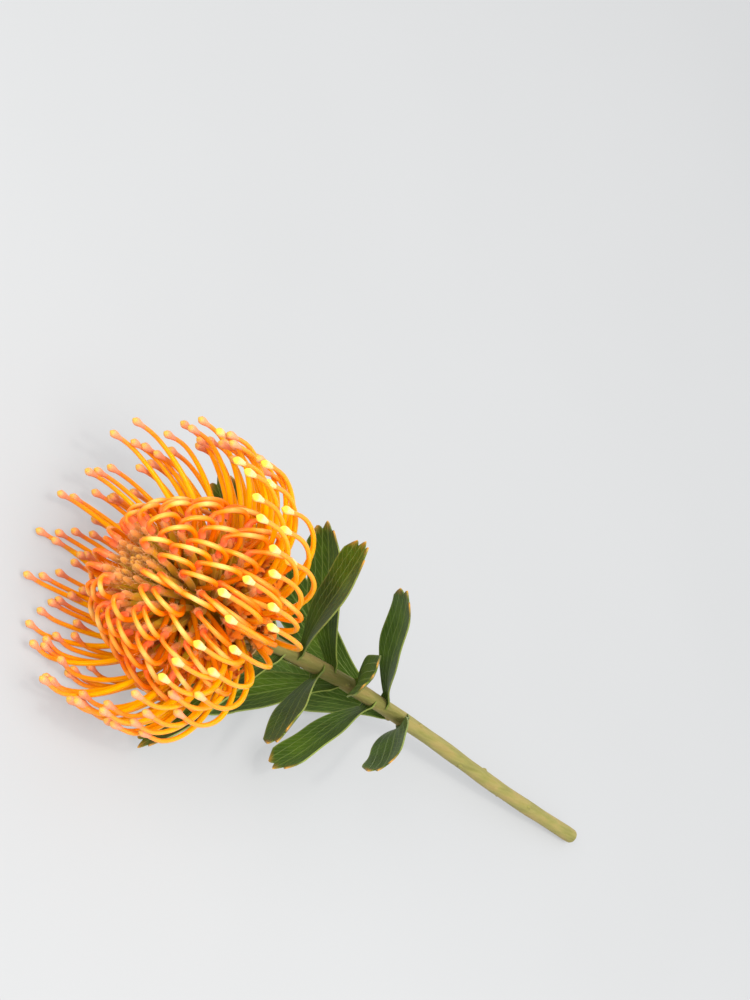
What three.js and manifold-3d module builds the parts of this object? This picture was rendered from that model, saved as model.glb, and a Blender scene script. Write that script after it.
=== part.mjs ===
// A cut pincushion protea flower (Leucospermum), lying on a flat surface.
// Units are millimetres and +Z is up. The apex of the bloom points to -X, the cut end of the stem to +X.
// The bloom has an axis of its own: places on it are given as a radius from that axis, an angle
// round it from the top side, and a height along it from the base of the flower head.
import * as THREE from "three";
import { mergeVertices } from "three/addons/utils/BufferGeometryUtils.js";
import Module from "manifold-3d";

const wasm = await Module();
wasm.setup();

const DEGREE = Math.PI / 180;
const GOLDEN_ANGLE = 137.508 * DEGREE;

// ---- How the flower lies ----
const PITCH = 9 * DEGREE; // the axis rises towards the apex, because the wide head carries that end
const HEAD_BASE_HEIGHT = 42; // the centre of the head's base above the surface
const HEAD_BASE_X = -84.28; // these two put the origin under the middle of the whole flower
const HEAD_BASE_Y = -1.9;
const SEAT_GAP = 0.3; // clearance between pieces that touch
const LANDING = 0.3; // how gently styles and leaves bend along the surface they press on
const WALK_STEPS = 50; // straight steps in a style's or a leaf's path

// ---- Flower head ----
const FLORETS = 184;
const OPEN_SHARE = 0.36; // the lowest florets, whose styles have sprung free
const BUD_SHARE = 0.1; // the florets round the apex, which are still straight
const RECEPTACLE_HEIGHT = 46;
const LOWEST_FLORET = 2.5; // height of the first floret's root
const FLORET_TILT = { lowest: 85 * DEGREE, highest: 4 * DEGREE }; // from the axis
const FLORET_WOBBLE = 5 * DEGREE;
const RECEPTACLE_RADIUS = 7;
const CORE_PROFILE = [
  [0, 0],
  [5.5, 0],
  [8, 1.4],
  [13, 4.5],
  [16.5, 11],
  [18.5, 21],
  [18, 34],
  [14.5, 47],
  [8, 56],
  [0, 59],
]; // radius and height of the zone where the florets stand too close to part
const CORE_RIDGES = 7;
const RIDGE_DEPTH = 0.16; // share of the radius between one row of packed florets and the next
const ROUND_SEGMENTS = 14;

// ---- Open florets: long free styles, each with a pollen presenter at its tip ----
const STYLE_LENGTH = { lowest: 72, highest: 80 };
const STYLE_LENGTH_SPREAD = 0.04; // share of the length
const STYLE_START_TILT = { lowest: 97 * DEGREE, highest: 78 * DEGREE }; // from the axis
const STYLE_START_SPREAD = 4 * DEGREE;
const STYLE_END_TILT = { lowest: -4 * DEGREE, highest: -2 * DEGREE };
const STYLE_END_SPREAD = 5 * DEGREE;
const STYLE_DRIFT = 5 * DEGREE; // the most that a style strays sideways
const CLUMPS = 14; // open styles lean together in tufts
const CLUMP_TURN = (Math.PI * 2) / CLUMPS;
const CLUMP_PULL = 0.6; // share of the way to the middle of its tuft that a style leans
const CLUMP_SPREAD = 8 * DEGREE; // how much one tuft curls in more than another
const STYLE_CURL = 10 * DEGREE; // the tip turns in a little
const STYLE_BEND_POWER = 1.6; // above 1, a style bends more towards its tip
const STYLE_ROOT = 3; // depth of its root inside the receptacle
const STYLE_RADIUS = 0.95;
const STYLE_STEPS = 7;
const PRESENTER_RADIUS = 1.5;
const PRESENTER_LENGTH = 4.5;

// ---- Closed florets: a perianth tube that ends in a woolly limb, and a looped style ----
const PERIANTH_LENGTH = 29;
const PERIANTH_ROOT = 6; // where the tube starts, inside the core
const PERIANTH_RADIUS = 1.9;
const LIMB_RADIUS = 2.5;
const LIMB_LENGTH = 6;
const BUD_LENGTH = 25;
const BUD_LIMB_RADIUS = 2;
const LOOP_RADIUS = 0.95;
const LOOP_STEPS = 7;
const LOOP_PATH = [
  [8, 0.5],
  [12, 7],
  [18, 14.5],
  [23.5, 18],
  [28.5, 17],
  [32, 11],
  [33.6, 4.5],
  [33, 0.6],
  [29, 0.2],
]; // along the perianth, and away from the apex
const LOOP_BOW = { lowest: 1.25, highest: 0.5 }; // the older, lower loops bow out furthest
const LOOP_BOW_SPREAD = 0.08;
const LOOP_SWING = 14 * DEGREE; // the most that a loop turns about its perianth

// ---- Involucre: the rings of bracts under the head ----
const INVOLUCRE_HEIGHT = 9;
const INVOLUCRE_RADIUS = 8;
const BRACT_RINGS = [
  { radius: 4, height: -7.4, tilt: 76 * DEGREE },
  { radius: 5.1, height: -5.3, tilt: 82 * DEGREE },
  { radius: 6.2, height: -3.2, tilt: 88 * DEGREE },
]; // where each ring of bracts grows, from the lowest up
const BRACTS_IN_RING = 5;
const BRACT_RISE = 16 * DEGREE; // how far a bract curves up along its length
const BRACT_CUP = 0.12; // how far its margins curve back, as a share of half its width
const BRACT_LENGTH = 9;
const BRACT_WIDTH = 7.5;
const BRACT_THICKNESS = 0.9;

// ---- Stem ----
const STEM_RADIUS = 3.4;
const STEM_LENGTH = 240;
const STEM_SIDES = 10;
const STEM_STEPS = 16;
const STEM_GIRTH_SPREAD = 0.05; // share of the radius
const STEM_BENDS = [
  { share: 0, sideways: 0, lift: 0 },
  { share: 0.25, sideways: 2.2, lift: 0.6 },
  { share: 0.5, sideways: 1.2, lift: -0.4 },
  { share: 0.75, sideways: -3, lift: -0.4 },
  { share: 1, sideways: -5, lift: 0 },
]; // how far the stem strays from a straight line
const NODULES = 12;
const NODULE_RADIUS = 1.5;
const NODULE_SINK = 0.5; // depth of its middle below the bark
const NODULE_FIRST_TURN = 40 * DEGREE;

// ---- Leaves ----
const LEAVES = 13;
const LEAF_SPACING = 7.6; // along the stem
const LEAF_FIRST_HEIGHT = 10; // below the involucre
const LEAF_LENGTH = { least: 60, most: 74 };
const LEAF_WIDTH = { least: 17, most: 21 };
const LEAF_START_TILT = { highest: 60 * DEGREE, lowest: 28 * DEGREE }; // from the axis
const LEAF_END_TILT = { highest: 52 * DEGREE, lowest: 40 * DEGREE };
const LEAF_END_SPREAD = 9 * DEGREE;
const LEAF_ARCH = { highest: 6 * DEGREE, lowest: 22 * DEGREE }; // the extra lean halfway along
const LEAF_TWIST = 14 * DEGREE;
const LEAF_CUP = 0.3; // rise of the margins, as a share of half the width
const LEAF_THICKNESS = 0.8;
const LEAF_ROWS = 7;
const TOOTH_DEPTH = 0.055; // share of the leaf's length
const LEAF_FIRST_TURN = 95 * DEGREE;
const LEAF_FLOOR = LEAF_THICKNESS * 0.55; // least height of the middle of a leaf

// ---- Small helpers ----

// What each random draw is for.
const DRAW = {
  styleDrift: 1,
  styleLength: 2,
  styleStart: 3,
  styleEnd: 4,
  floretTilt: 5,
  floretTurn: 6,
  loopBow: 7,
  loopSwing: 16,
  clumpEnd: 17,
  noduleSize: 8,
  stemGirth: 9,
  leafLength: 10,
  leafWidth: 11,
  leafTeeth: 12,
  leafEnd: 13,
  leafTwist: 14,
  bractTurn: 15,
};

// A repeatable random number from 0 to 1 for item i and one of the draws.
function chance(i, draw) {
  const wave = Math.sin(i * 12.9898 + draw * 78.233) * 43758.5453;
  return wave - Math.floor(wave);
}

// A repeatable random number from -amount to +amount.
function spread(i, draw, amount) {
  return (chance(i, draw) * 2 - 1) * amount;
}

function mix(from, to, share) {
  return from + (to - from) * share;
}

const AXIS = new THREE.Vector3(-Math.cos(PITCH), 0, Math.sin(PITCH));
const TOP = new THREE.Vector3(Math.sin(PITCH), 0, Math.cos(PITCH));
const SIDE = new THREE.Vector3(0, 1, 0);
const HEAD_BASE = new THREE.Vector3(HEAD_BASE_X, HEAD_BASE_Y, HEAD_BASE_HEIGHT);

// The direction away from the axis at an angle round it.
function outward(angle) {
  return TOP.clone().multiplyScalar(Math.cos(angle)).addScaledVector(SIDE, Math.sin(angle));
}

// The direction round the axis at an angle.
function around(angle) {
  return TOP.clone().multiplyScalar(-Math.sin(angle)).addScaledVector(SIDE, Math.cos(angle));
}

function place(radius, angle, height) {
  return HEAD_BASE.clone().addScaledVector(outward(angle), radius).addScaledVector(AXIS, height);
}

// The direction that leans away from the axis by a tilt, at an angle round it.
function leaning(tilt, angle) {
  return AXIS.clone().multiplyScalar(Math.cos(tilt)).addScaledVector(outward(angle), Math.sin(tilt));
}

// Walks a path of a given length that bends along the surface where it meets it.
// heading(share) is the free direction and clearance(share) the least height of the path.
function walk(start, heading, length, clearance) {
  const points = [start.clone()];
  const step = length / WALK_STEPS;
  for (let k = 0; k < WALK_STEPS; k += 1) {
    const share = (k + 0.5) / WALK_STEPS;
    const move = heading(share).multiplyScalar(step);
    const room = points[k].z - clearance(share);
    const drop = Math.max(move.z, -room * LANDING);
    const level = Math.hypot(move.x, move.y);
    const stretch = Math.sqrt(Math.max(step * step - drop * drop, 0)) / Math.max(level, 1e-6);
    points.push(points[k].clone().add(new THREE.Vector3(move.x * stretch, move.y * stretch, drop)));
  }
  return points;
}

// The point at a share of the length of a walked path.
function along(path, share) {
  const position = THREE.MathUtils.clamp(share, 0, 1) * WALK_STEPS;
  const below = Math.min(Math.floor(position), WALK_STEPS - 1);
  return path[below].clone().lerp(path[below + 1], position - below);
}

function geometryOf(positions, triangles) {
  const geometry = new THREE.BufferGeometry();
  geometry.setAttribute("position", new THREE.Float32BufferAttribute(positions, 3));
  geometry.setIndex(triangles);
  return geometry;
}

// A closed tube with a radius of its own at each point. The first corner of its section points
// square to both the path and the sideways direction.
function tube(points, radii, sides, sideways) {
  const positions = [];
  const triangles = [];
  const last = points.length - 1;
  points.forEach((point, k) => {
    const before = points[Math.max(k - 1, 0)];
    const after = points[Math.min(k + 1, last)];
    const onward = after.clone().sub(before).normalize();
    const out = sideways.clone().cross(onward).normalize();
    const across = onward.clone().cross(out);
    for (let j = 0; j < sides; j += 1) {
      const turn = (j / sides) * Math.PI * 2;
      const corner = point
        .clone()
        .addScaledVector(out, Math.cos(turn) * radii[k])
        .addScaledVector(across, Math.sin(turn) * radii[k]);
      positions.push(corner.x, corner.y, corner.z);
    }
  });
  for (let k = 0; k < last; k += 1) {
    for (let j = 0; j < sides; j += 1) {
      const a = k * sides + j;
      const b = k * sides + ((j + 1) % sides);
      triangles.push(a, b, a + sides, b, b + sides, a + sides);
    }
  }
  for (let j = 1; j < sides - 1; j += 1) {
    triangles.push(0, j + 1, j);
    triangles.push(last * sides, last * sides + j, last * sides + j + 1);
  }
  return geometryOf(positions, triangles);
}

// A blade of even thickness from a grid of points on its middle surface. Both faces are split
// into the same triangles.
function blade(grid, thickness) {
  const rows = grid.length;
  const columns = grid[0].length;
  const positions = [[], []];
  grid.forEach((row, r) => {
    row.forEach((point, c) => {
      const lengthwise = grid[Math.min(r + 1, rows - 1)][c].clone().sub(grid[Math.max(r - 1, 0)][c]);
      const crosswise = row[Math.min(c + 1, columns - 1)].clone().sub(row[Math.max(c - 1, 0)]);
      const normal = crosswise.cross(lengthwise).normalize();
      [thickness / 2, -thickness / 2].forEach((offset, face) => {
        const corner = point.clone().addScaledVector(normal, offset);
        positions[face].push(corner.x, corner.y, corner.z);
      });
    });
  });
  const under = rows * columns;
  const triangles = [];
  for (let r = 0; r < rows - 1; r += 1) {
    for (let c = 0; c < columns - 1; c += 1) {
      const a = r * columns + c;
      const b = a + 1;
      const d = a + columns;
      const e = d + 1;
      const halves = c < (columns - 1) / 2 ? [[a, b, e], [a, e, d]] : [[a, b, d], [b, e, d]];
      halves.forEach(([p, q, s]) => {
        triangles.push(p, q, s, under + p, under + s, under + q);
      });
    }
  }
  const rim = [];
  for (let c = 0; c < columns - 1; c += 1) {
    rim.push(c);
  }
  for (let r = 0; r < rows - 1; r += 1) {
    rim.push(r * columns + columns - 1);
  }
  for (let c = columns - 1; c > 0; c -= 1) {
    rim.push((rows - 1) * columns + c);
  }
  for (let r = rows - 1; r > 0; r -= 1) {
    rim.push(r * columns);
  }
  rim.forEach((p, k) => {
    const q = rim[(k + 1) % rim.length];
    triangles.push(p, under + p, under + q, p, under + q, q);
  });
  return geometryOf([...positions[0], ...positions[1]], triangles);
}

function solidOf(geometry) {
  const bare = geometry.clone();
  bare.deleteAttribute("normal");
  bare.deleteAttribute("uv");
  const merged = mergeVertices(bare);
  const vertProperties = merged.attributes.position.array;
  const triVerts = new Uint32Array(merged.index.array);
  return new wasm.Manifold(new wasm.Mesh({ numProp: 3, vertProperties, triVerts }));
}

const FUSE_TOLERANCE = 0.02;

// Joins overlapping solids into one body, without the small voids and scraps that joining leaves.
function fuse(solids) {
  let joined = solids;
  while (joined.length > 1) {
    const pairs = [];
    for (let k = 0; k < joined.length; k += 2) {
      pairs.push(k + 1 < joined.length ? joined[k].add(joined[k + 1]) : joined[k]);
    }
    joined = pairs;
  }
  const bodies = joined[0].simplify(FUSE_TOLERANCE).decompose();
  return bodies.reduce((best, body) => (body.volume() > best.volume() ? body : best));
}

function geometryFrom(solid) {
  const { numProp, vertProperties, triVerts } = solid.getMesh();
  const positions = [];
  for (let k = 0; k < vertProperties.length; k += numProp) {
    positions.push(vertProperties[k], vertProperties[k + 1], vertProperties[k + 2]);
  }
  const geometry = geometryOf(positions, Array.from(triVerts));
  geometry.computeVertexNormals();
  return geometry;
}

function piece(name, geometry, color, roughness) {
  const material = new THREE.MeshStandardMaterial({ color, roughness, metalness: 0 });
  const mesh = new THREE.Mesh(geometry, material);
  mesh.name = name;
  return mesh;
}

// ---- Flower head ----

// Where floret i stands. They follow a golden-angle spiral from the base to the apex.
function floret(i) {
  const rise = (i + 0.5) / FLORETS;
  return {
    rise,
    angle: i * GOLDEN_ANGLE,
    radius: RECEPTACLE_RADIUS * Math.sqrt(1 - rise ** 5),
    height: mix(LOWEST_FLORET, RECEPTACLE_HEIGHT, rise),
    tilt: mix(FLORET_TILT.lowest, FLORET_TILT.highest, rise ** 1.3),
  };
}

// The line that the perianth of floret i follows, and the direction away from the apex across it.
function floretLine(i) {
  const { rise, angle, radius, height, tilt } = floret(i);
  const leanTilt = tilt + spread(i, DRAW.floretTilt, FLORET_WOBBLE);
  const leanAngle = angle + spread(i, DRAW.floretTurn, FLORET_WOBBLE);
  return {
    rise,
    root: place(radius, angle, height),
    onward: leaning(leanTilt, leanAngle),
    away: leaning(leanTilt + Math.PI / 2, leanAngle),
    sideways: around(leanAngle),
  };
}

function openStyle(i) {
  const { rise, angle, radius, height } = floret(i);
  const share = rise / OPEN_SHARE;
  const clump = Math.round(angle / CLUMP_TURN);
  const pull = (clump * CLUMP_TURN - angle) * CLUMP_PULL;
  const drift = pull + spread(i, DRAW.styleDrift, STYLE_DRIFT);
  const meanLength = mix(STYLE_LENGTH.lowest, STYLE_LENGTH.highest, share);
  const length = meanLength * (1 + spread(i, DRAW.styleLength, STYLE_LENGTH_SPREAD));
  const meanStart = mix(STYLE_START_TILT.lowest, STYLE_START_TILT.highest, share);
  const startTilt = meanStart + spread(i, DRAW.styleStart, STYLE_START_SPREAD);
  const meanEnd = mix(STYLE_END_TILT.lowest, STYLE_END_TILT.highest, share);
  const clumpEnd = spread(clump % CLUMPS, DRAW.clumpEnd, CLUMP_SPREAD);
  const endTilt = meanEnd + clumpEnd + spread(i, DRAW.styleEnd, STYLE_END_SPREAD);
  const heading = (s) => {
    const curl = STYLE_CURL * THREE.MathUtils.smoothstep(s, 0.84, 0.95);
    return leaning(mix(startTilt, endTilt, s ** STYLE_BEND_POWER) - curl, angle + drift * s);
  };
  const clearance = (s) => (s > 0.9 ? PRESENTER_RADIUS : STYLE_RADIUS);
  const fine = walk(place(radius - STYLE_ROOT, angle, height), heading, length, clearance);
  const path = Array.from({ length: STYLE_STEPS + 1 }, (_, k) => along(fine, k / STYLE_STEPS));
  const tip = path[STYLE_STEPS];
  const onward = tip.clone().sub(along(fine, 0.92)).normalize();
  path.push(tip.clone().addScaledVector(onward, PRESENTER_LENGTH * 0.45));
  path.push(tip.clone().addScaledVector(onward, PRESENTER_LENGTH));
  const radii = path.map(() => STYLE_RADIUS);
  radii[STYLE_STEPS + 1] = PRESENTER_RADIUS;
  radii[STYLE_STEPS + 2] = PRESENTER_RADIUS * 0.3;
  return tube(path, radii, 3, around(angle).negate());
}

// A perianth tube of a given length with the limb that closes it.
function perianth(i, length, limbRadius) {
  const { root, onward, sideways } = floretLine(i);
  const stops = [PERIANTH_ROOT, length - LIMB_LENGTH, length - LIMB_LENGTH * 0.55, length];
  const path = stops.map((distance) => root.clone().addScaledVector(onward, distance));
  const radii = [PERIANTH_RADIUS, PERIANTH_RADIUS * 0.85, limbRadius, limbRadius * 0.55];
  return tube(path, radii, 3, sideways);
}

function loopedStyle(i) {
  const { rise, root, onward, away, sideways } = floretLine(i);
  const swing = spread(i, DRAW.loopSwing, LOOP_SWING);
  const bowed = away.applyAxisAngle(onward, swing);
  const age = (rise - OPEN_SHARE) / (1 - BUD_SHARE - OPEN_SHARE);
  const size = mix(LOOP_BOW.lowest, LOOP_BOW.highest, age) + spread(i, DRAW.loopBow, LOOP_BOW_SPREAD);
  const knots = LOOP_PATH.map(([reach, bow]) =>
    root.clone().addScaledVector(onward, reach).addScaledVector(bowed, bow * size),
  );
  const path = new THREE.CatmullRomCurve3(knots).getSpacedPoints(LOOP_STEPS);
  path.forEach((point) => {
    point.z = Math.max(point.z, LOOP_RADIUS);
  });
  return tube(path, path.map(() => LOOP_RADIUS), 3, sideways.negate());
}

// The zone where the florets are packed, with a ridge for each row of them, turned like a spiral.
function core() {
  const sides = CORE_RIDGES * 2;
  const positions = [];
  const triangles = [];
  const last = CORE_PROFILE.length - 1;
  CORE_PROFILE.forEach(([radius, height], k) => {
    const corners = radius === 0 ? 1 : sides;
    for (let j = 0; j < corners; j += 1) {
      const depth = j % 2 === 1 && radius > RECEPTACLE_RADIUS ? RIDGE_DEPTH : 0;
      const angle = ((j + k * 0.5) / sides) * Math.PI * 2;
      const corner = place(radius * (1 - depth), angle, height + SEAT_GAP);
      positions.push(corner.x, corner.y, corner.z);
    }
  });
  const ringStart = (k) => 1 + (k - 1) * sides;
  for (let j = 0; j < sides; j += 1) {
    const next = (j + 1) % sides;
    triangles.push(0, ringStart(1) + next, ringStart(1) + j);
    for (let k = 1; k < last - 1; k += 1) {
      const a = ringStart(k) + j;
      const b = ringStart(k) + next;
      triangles.push(a, b, b + sides, a, b + sides, a + sides);
    }
    triangles.push(ringStart(last), ringStart(last - 1) + j, ringStart(last - 1) + next);
  }
  return geometryOf(positions, triangles);
}

function flowerHead() {
  const solids = [solidOf(core())];
  for (let i = 0; i < FLORETS; i += 1) {
    const { rise } = floret(i);
    if (rise < OPEN_SHARE) {
      solids.push(solidOf(openStyle(i)));
    } else if (rise > 1 - BUD_SHARE) {
      solids.push(solidOf(perianth(i, BUD_LENGTH, BUD_LIMB_RADIUS)));
    } else if (i % 2 === 0) {
      solids.push(solidOf(perianth(i, PERIANTH_LENGTH, LIMB_RADIUS)));
      solids.push(solidOf(loopedStyle(i)));
    }
  }
  return geometryFrom(fuse(solids));
}

// ---- Involucre ----

function bract(ring, i) {
  const { radius, height, tilt } = BRACT_RINGS[ring];
  const turn = (i + ring / BRACT_RINGS.length) / BRACTS_IN_RING;
  const angle = turn * Math.PI * 2 + spread(ring * BRACTS_IN_RING + i, DRAW.bractTurn, 4 * DEGREE);
  const rows = [
    { share: 0, width: 0.75 },
    { share: 0.5, width: 1 },
    { share: 1, width: 0.22 },
  ];
  const grid = rows.map(({ share, width }) => {
    const half = (BRACT_WIDTH / 2) * width;
    const lean = tilt - share * BRACT_RISE;
    const root = place(radius, angle, height);
    const centre = root.addScaledVector(leaning(lean, angle), BRACT_LENGTH * share);
    const back = leaning(lean + Math.PI / 2, angle);
    return [-1, 0, 1].map((u) => {
      const margin = centre.clone().addScaledVector(around(angle), half * u);
      return margin.addScaledVector(back, BRACT_CUP * half * Math.abs(u));
    });
  });
  return blade(grid, BRACT_THICKNESS);
}

function involucre() {
  const profile = [
    [0, -INVOLUCRE_HEIGHT],
    [STEM_RADIUS * 1.1, -INVOLUCRE_HEIGHT],
    [INVOLUCRE_RADIUS * 0.8, -INVOLUCRE_HEIGHT * 0.5],
    [INVOLUCRE_RADIUS, 0],
    [0, 0],
  ].map(([radius, height]) => new THREE.Vector2(radius, height));
  const geometry = new THREE.LatheGeometry(profile, ROUND_SEGMENTS);
  const standing = new THREE.Matrix4().makeBasis(SIDE, AXIS, TOP);
  standing.setPosition(HEAD_BASE);
  const solids = [solidOf(geometry.applyMatrix4(standing))];
  for (let ring = 0; ring < BRACT_RINGS.length; ring += 1) {
    for (let i = 0; i < BRACTS_IN_RING; i += 1) solids.push(solidOf(bract(ring, i)));
  }
  return geometryFrom(fuse(solids));
}

// ---- Stem ----

const STEM_TOP = place(0, 0, -INVOLUCRE_HEIGHT - SEAT_GAP);
const STEM_DROP = STEM_TOP.z - STEM_RADIUS;
const STEM_RUN = Math.sqrt(STEM_LENGTH ** 2 - STEM_DROP ** 2);
const STEM_CURVE = new THREE.CatmullRomCurve3(
  STEM_BENDS.map(({ share, sideways, lift }) => {
    const height = STEM_TOP.z - STEM_DROP * share + lift;
    return new THREE.Vector3(STEM_TOP.x + STEM_RUN * share, STEM_TOP.y + sideways, height);
  }),
);

// A small scar on the stem, or nothing where the stem is too close to the surface for one.
function nodule(i) {
  const share = mix(0.06, 0.94, (i + 0.5) / NODULES);
  const centre = STEM_CURVE.getPoint(share);
  centre.addScaledVector(outward(NODULE_FIRST_TURN + i * GOLDEN_ANGLE), STEM_RADIUS - NODULE_SINK);
  if (centre.z < NODULE_RADIUS) return null;
  const size = mix(0.8, 1.1, chance(i, DRAW.noduleSize));
  const geometry = new THREE.OctahedronGeometry(NODULE_RADIUS * size);
  geometry.scale(1.5, 1, 1);
  return geometry.translate(centre.x, centre.y, centre.z);
}

function stem() {
  const path = STEM_CURVE.getSpacedPoints(STEM_STEPS);
  const radii = path.map((_, k) => STEM_RADIUS * (1 + spread(k, DRAW.stemGirth, STEM_GIRTH_SPREAD)));
  radii[STEM_STEPS] = STEM_RADIUS;
  const solids = [solidOf(tube(path, radii, STEM_SIDES, SIDE))];
  for (let i = 0; i < NODULES; i += 1) {
    const bump = nodule(i);
    if (bump) solids.push(solidOf(bump));
  }
  return geometryFrom(fuse(solids));
}

// ---- Leaves ----

// Half the width of a leaf at a share of its length: oblong, on a broad base, with a rounded end.
function leafHalfWidth(share, width) {
  const base = mix(0.42, 1, THREE.MathUtils.smoothstep(share, 0, 0.5));
  const end = Math.sqrt(Math.max(1 - Math.max((share - 0.68) / 0.46, 0) ** 2, 0));
  return (width / 2) * base * end;
}

// Where the middle of leaf k runs: it leaves the stem, arches out and turns up at its tip.
function leafSpine(k) {
  const age = k / (LEAVES - 1);
  const angle = LEAF_FIRST_TURN + k * GOLDEN_ANGLE;
  const length = mix(LEAF_LENGTH.least, LEAF_LENGTH.most, chance(k, DRAW.leafLength));
  const anchor = STEM_CURVE.getPoint((LEAF_FIRST_HEIGHT + k * LEAF_SPACING) / STEM_LENGTH);
  const seat = STEM_RADIUS * (1 + STEM_GIRTH_SPREAD) + SEAT_GAP + LEAF_THICKNESS * 0.5;
  const startTilt = mix(LEAF_START_TILT.highest, LEAF_START_TILT.lowest, age ** 0.5);
  const meanEnd = mix(LEAF_END_TILT.highest, LEAF_END_TILT.lowest, age);
  const endTilt = meanEnd + spread(k, DRAW.leafEnd, LEAF_END_SPREAD);
  const twist = spread(k, DRAW.leafTwist, LEAF_TWIST);
  const arch = mix(LEAF_ARCH.highest, LEAF_ARCH.lowest, age);
  const heading = (s) => {
    const tilt = mix(startTilt, endTilt, s) + arch * Math.sin(s * Math.PI);
    return leaning(tilt, angle + twist * s);
  };
  const start = anchor.addScaledVector(outward(angle), seat);
  return { angle, twist, path: walk(start, heading, length, () => LEAF_FLOOR) };
}

// The point of leaf k at a share of its length, and u from -1 to +1 across it.
function leafPoint(k, spine, width, share, u) {
  const { angle, twist, path } = spine;
  const half = leafHalfWidth(share, width);
  const onward = along(path, share + 0.03).sub(along(path, share - 0.03)).normalize();
  const across = around(angle + twist * share * 2).projectOnPlane(onward).normalize();
  const upper = onward.clone().cross(across);
  const wave = Math.sin(share * 11 + k * 2 + (u > 0 ? 1.4 : 0)) * 0.9 * u * u * share;
  const lift = half * LEAF_CUP * Math.abs(u) ** 1.5 + wave;
  const point = along(path, share).addScaledVector(across, half * u).addScaledVector(upper, lift);
  point.z = Math.max(point.z, LEAF_FLOOR);
  return point;
}

function leaf(k) {
  const spine = leafSpine(k);
  const width = mix(LEAF_WIDTH.least, LEAF_WIDTH.most, chance(k, DRAW.leafWidth));
  const teeth = 3 + Math.floor(chance(k, DRAW.leafTeeth) * 1.99);
  const columns = teeth * 2;
  const grid = [];
  for (let r = 0; r <= LEAF_ROWS; r += 1) {
    const row = [];
    for (let c = 0; c <= columns; c += 1) {
      const u = (c / columns) * 2 - 1;
      const notch = c % 2 === 1 ? 0 : TOOTH_DEPTH;
      const share = (r / LEAF_ROWS) * (1 - 0.1 * u * u - notch);
      row.push(leafPoint(k, spine, width, share, u));
    }
    grid.push(row);
  }
  return blade(grid, LEAF_THICKNESS);
}

// ---- The whole flower ----

const flower = new THREE.Group();
flower.add(piece("flower_head", flowerHead(), 0xf5871f, 0.45));
flower.add(piece("involucral_bracts", involucre(), 0x8d8a5a, 0.8));
flower.add(piece("stem", stem(), 0x76713a, 0.75));
for (let k = 0; k < LEAVES; k += 1) {
  const name = `leaf_${String(k + 1).padStart(2, "0")}`;
  flower.add(piece(name, leaf(k), 0x4d6b1e, 0.5));
}

export default flower;
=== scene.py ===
# %% [markdown]
# # A cut pincushion flower
# This lesson dresses a pincushion protea bloom that lies on a table. The real bloom is hundreds
# of small florets on one woody cone. The lowest have opened, and each holds out a long style with
# a pollen presenter at its tip. The ones above are still shut, so their styles bow out in loops.
# A plain set of solids gives every place and size. The pieces made here are finer, follow the
# same growing rule, and take the place of those solids.

# %% Load the frame
import math

import bmesh
import bpy
import numpy as np
from mathutils import Color, Matrix, Vector


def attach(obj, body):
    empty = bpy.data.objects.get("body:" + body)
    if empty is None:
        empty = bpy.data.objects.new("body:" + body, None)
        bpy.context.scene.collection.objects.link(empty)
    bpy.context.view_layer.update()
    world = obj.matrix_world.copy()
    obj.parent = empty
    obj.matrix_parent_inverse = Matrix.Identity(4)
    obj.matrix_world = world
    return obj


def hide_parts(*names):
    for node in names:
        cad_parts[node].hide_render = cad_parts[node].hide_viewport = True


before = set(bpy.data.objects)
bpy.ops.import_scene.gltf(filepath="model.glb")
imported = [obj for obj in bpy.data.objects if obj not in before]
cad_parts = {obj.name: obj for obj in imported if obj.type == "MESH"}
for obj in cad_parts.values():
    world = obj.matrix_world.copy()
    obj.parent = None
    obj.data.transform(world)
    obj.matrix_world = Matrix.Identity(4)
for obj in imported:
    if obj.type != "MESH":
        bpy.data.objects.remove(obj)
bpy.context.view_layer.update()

bpy.ops.object.select_all(action="DESELECT")

# %% [markdown]
# ## The growing rule
# A flower head repeats one floret along a spiral whose step is the golden angle. Placing hundreds
# of them by hand would never look grown, and a particle system could not follow the solids. So
# each floret's place is worked out from its number, in millimetres, just as the solids' places
# are. Lengths become metres only when a mesh is made.

# %% Sizes of the bloom
MM = 0.001
DEGREE = math.pi / 180
GOLDEN_ANGLE = 137.508 * DEGREE
PITCH = 9 * DEGREE
HEAD_BASE = Vector((-84.28, -1.9, 42))
AXIS = Vector((-math.cos(PITCH), 0, math.sin(PITCH)))
TOP = Vector((math.sin(PITCH), 0, math.cos(PITCH)))
SIDE = Vector((0, 1, 0))

FLORETS = 184
OPEN_SHARE = 0.36
BUD_SHARE = 0.1
RECEPTACLE_HEIGHT = 46
RECEPTACLE_RADIUS = 7
FAR_SIDE = 150 * DEGREE  # the middle of the side where more styles stand between the others


# %% Repeatable chance, and places round the axis
def chance(i, draw):
    """A repeatable number from 0 to 1 for item i and one kind of draw."""
    return (math.sin(i * 12.9898 + draw * 78.233) * 43758.5453) % 1.0


def spread(i, draw, amount):
    return (chance(i, draw) * 2 - 1) * amount


def mix(start, end, share):
    return start + (end - start) * share


def smoothstep(value, low, high):
    share = min(max((value - low) / (high - low), 0), 1)
    return share * share * (3 - 2 * share)


def outward(angle):
    return TOP * math.cos(angle) + SIDE * math.sin(angle)


def around(angle):
    return TOP * -math.sin(angle) + SIDE * math.cos(angle)


def place(radius, angle, height):
    return HEAD_BASE + outward(angle) * radius + AXIS * height


def leaning(tilt, angle):
    return AXIS * math.cos(tilt) + outward(angle) * math.sin(tilt)


def floret(i):
    """Rise, angle, radius, height and tilt of floret i."""
    rise = (i + 0.5) / FLORETS
    radius = RECEPTACLE_RADIUS * math.sqrt(1 - rise**5)
    height = mix(2.5, RECEPTACLE_HEIGHT, rise)
    return rise, i * GOLDEN_ANGLE, radius, height, mix(85, 4, rise**1.3) * DEGREE


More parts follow.
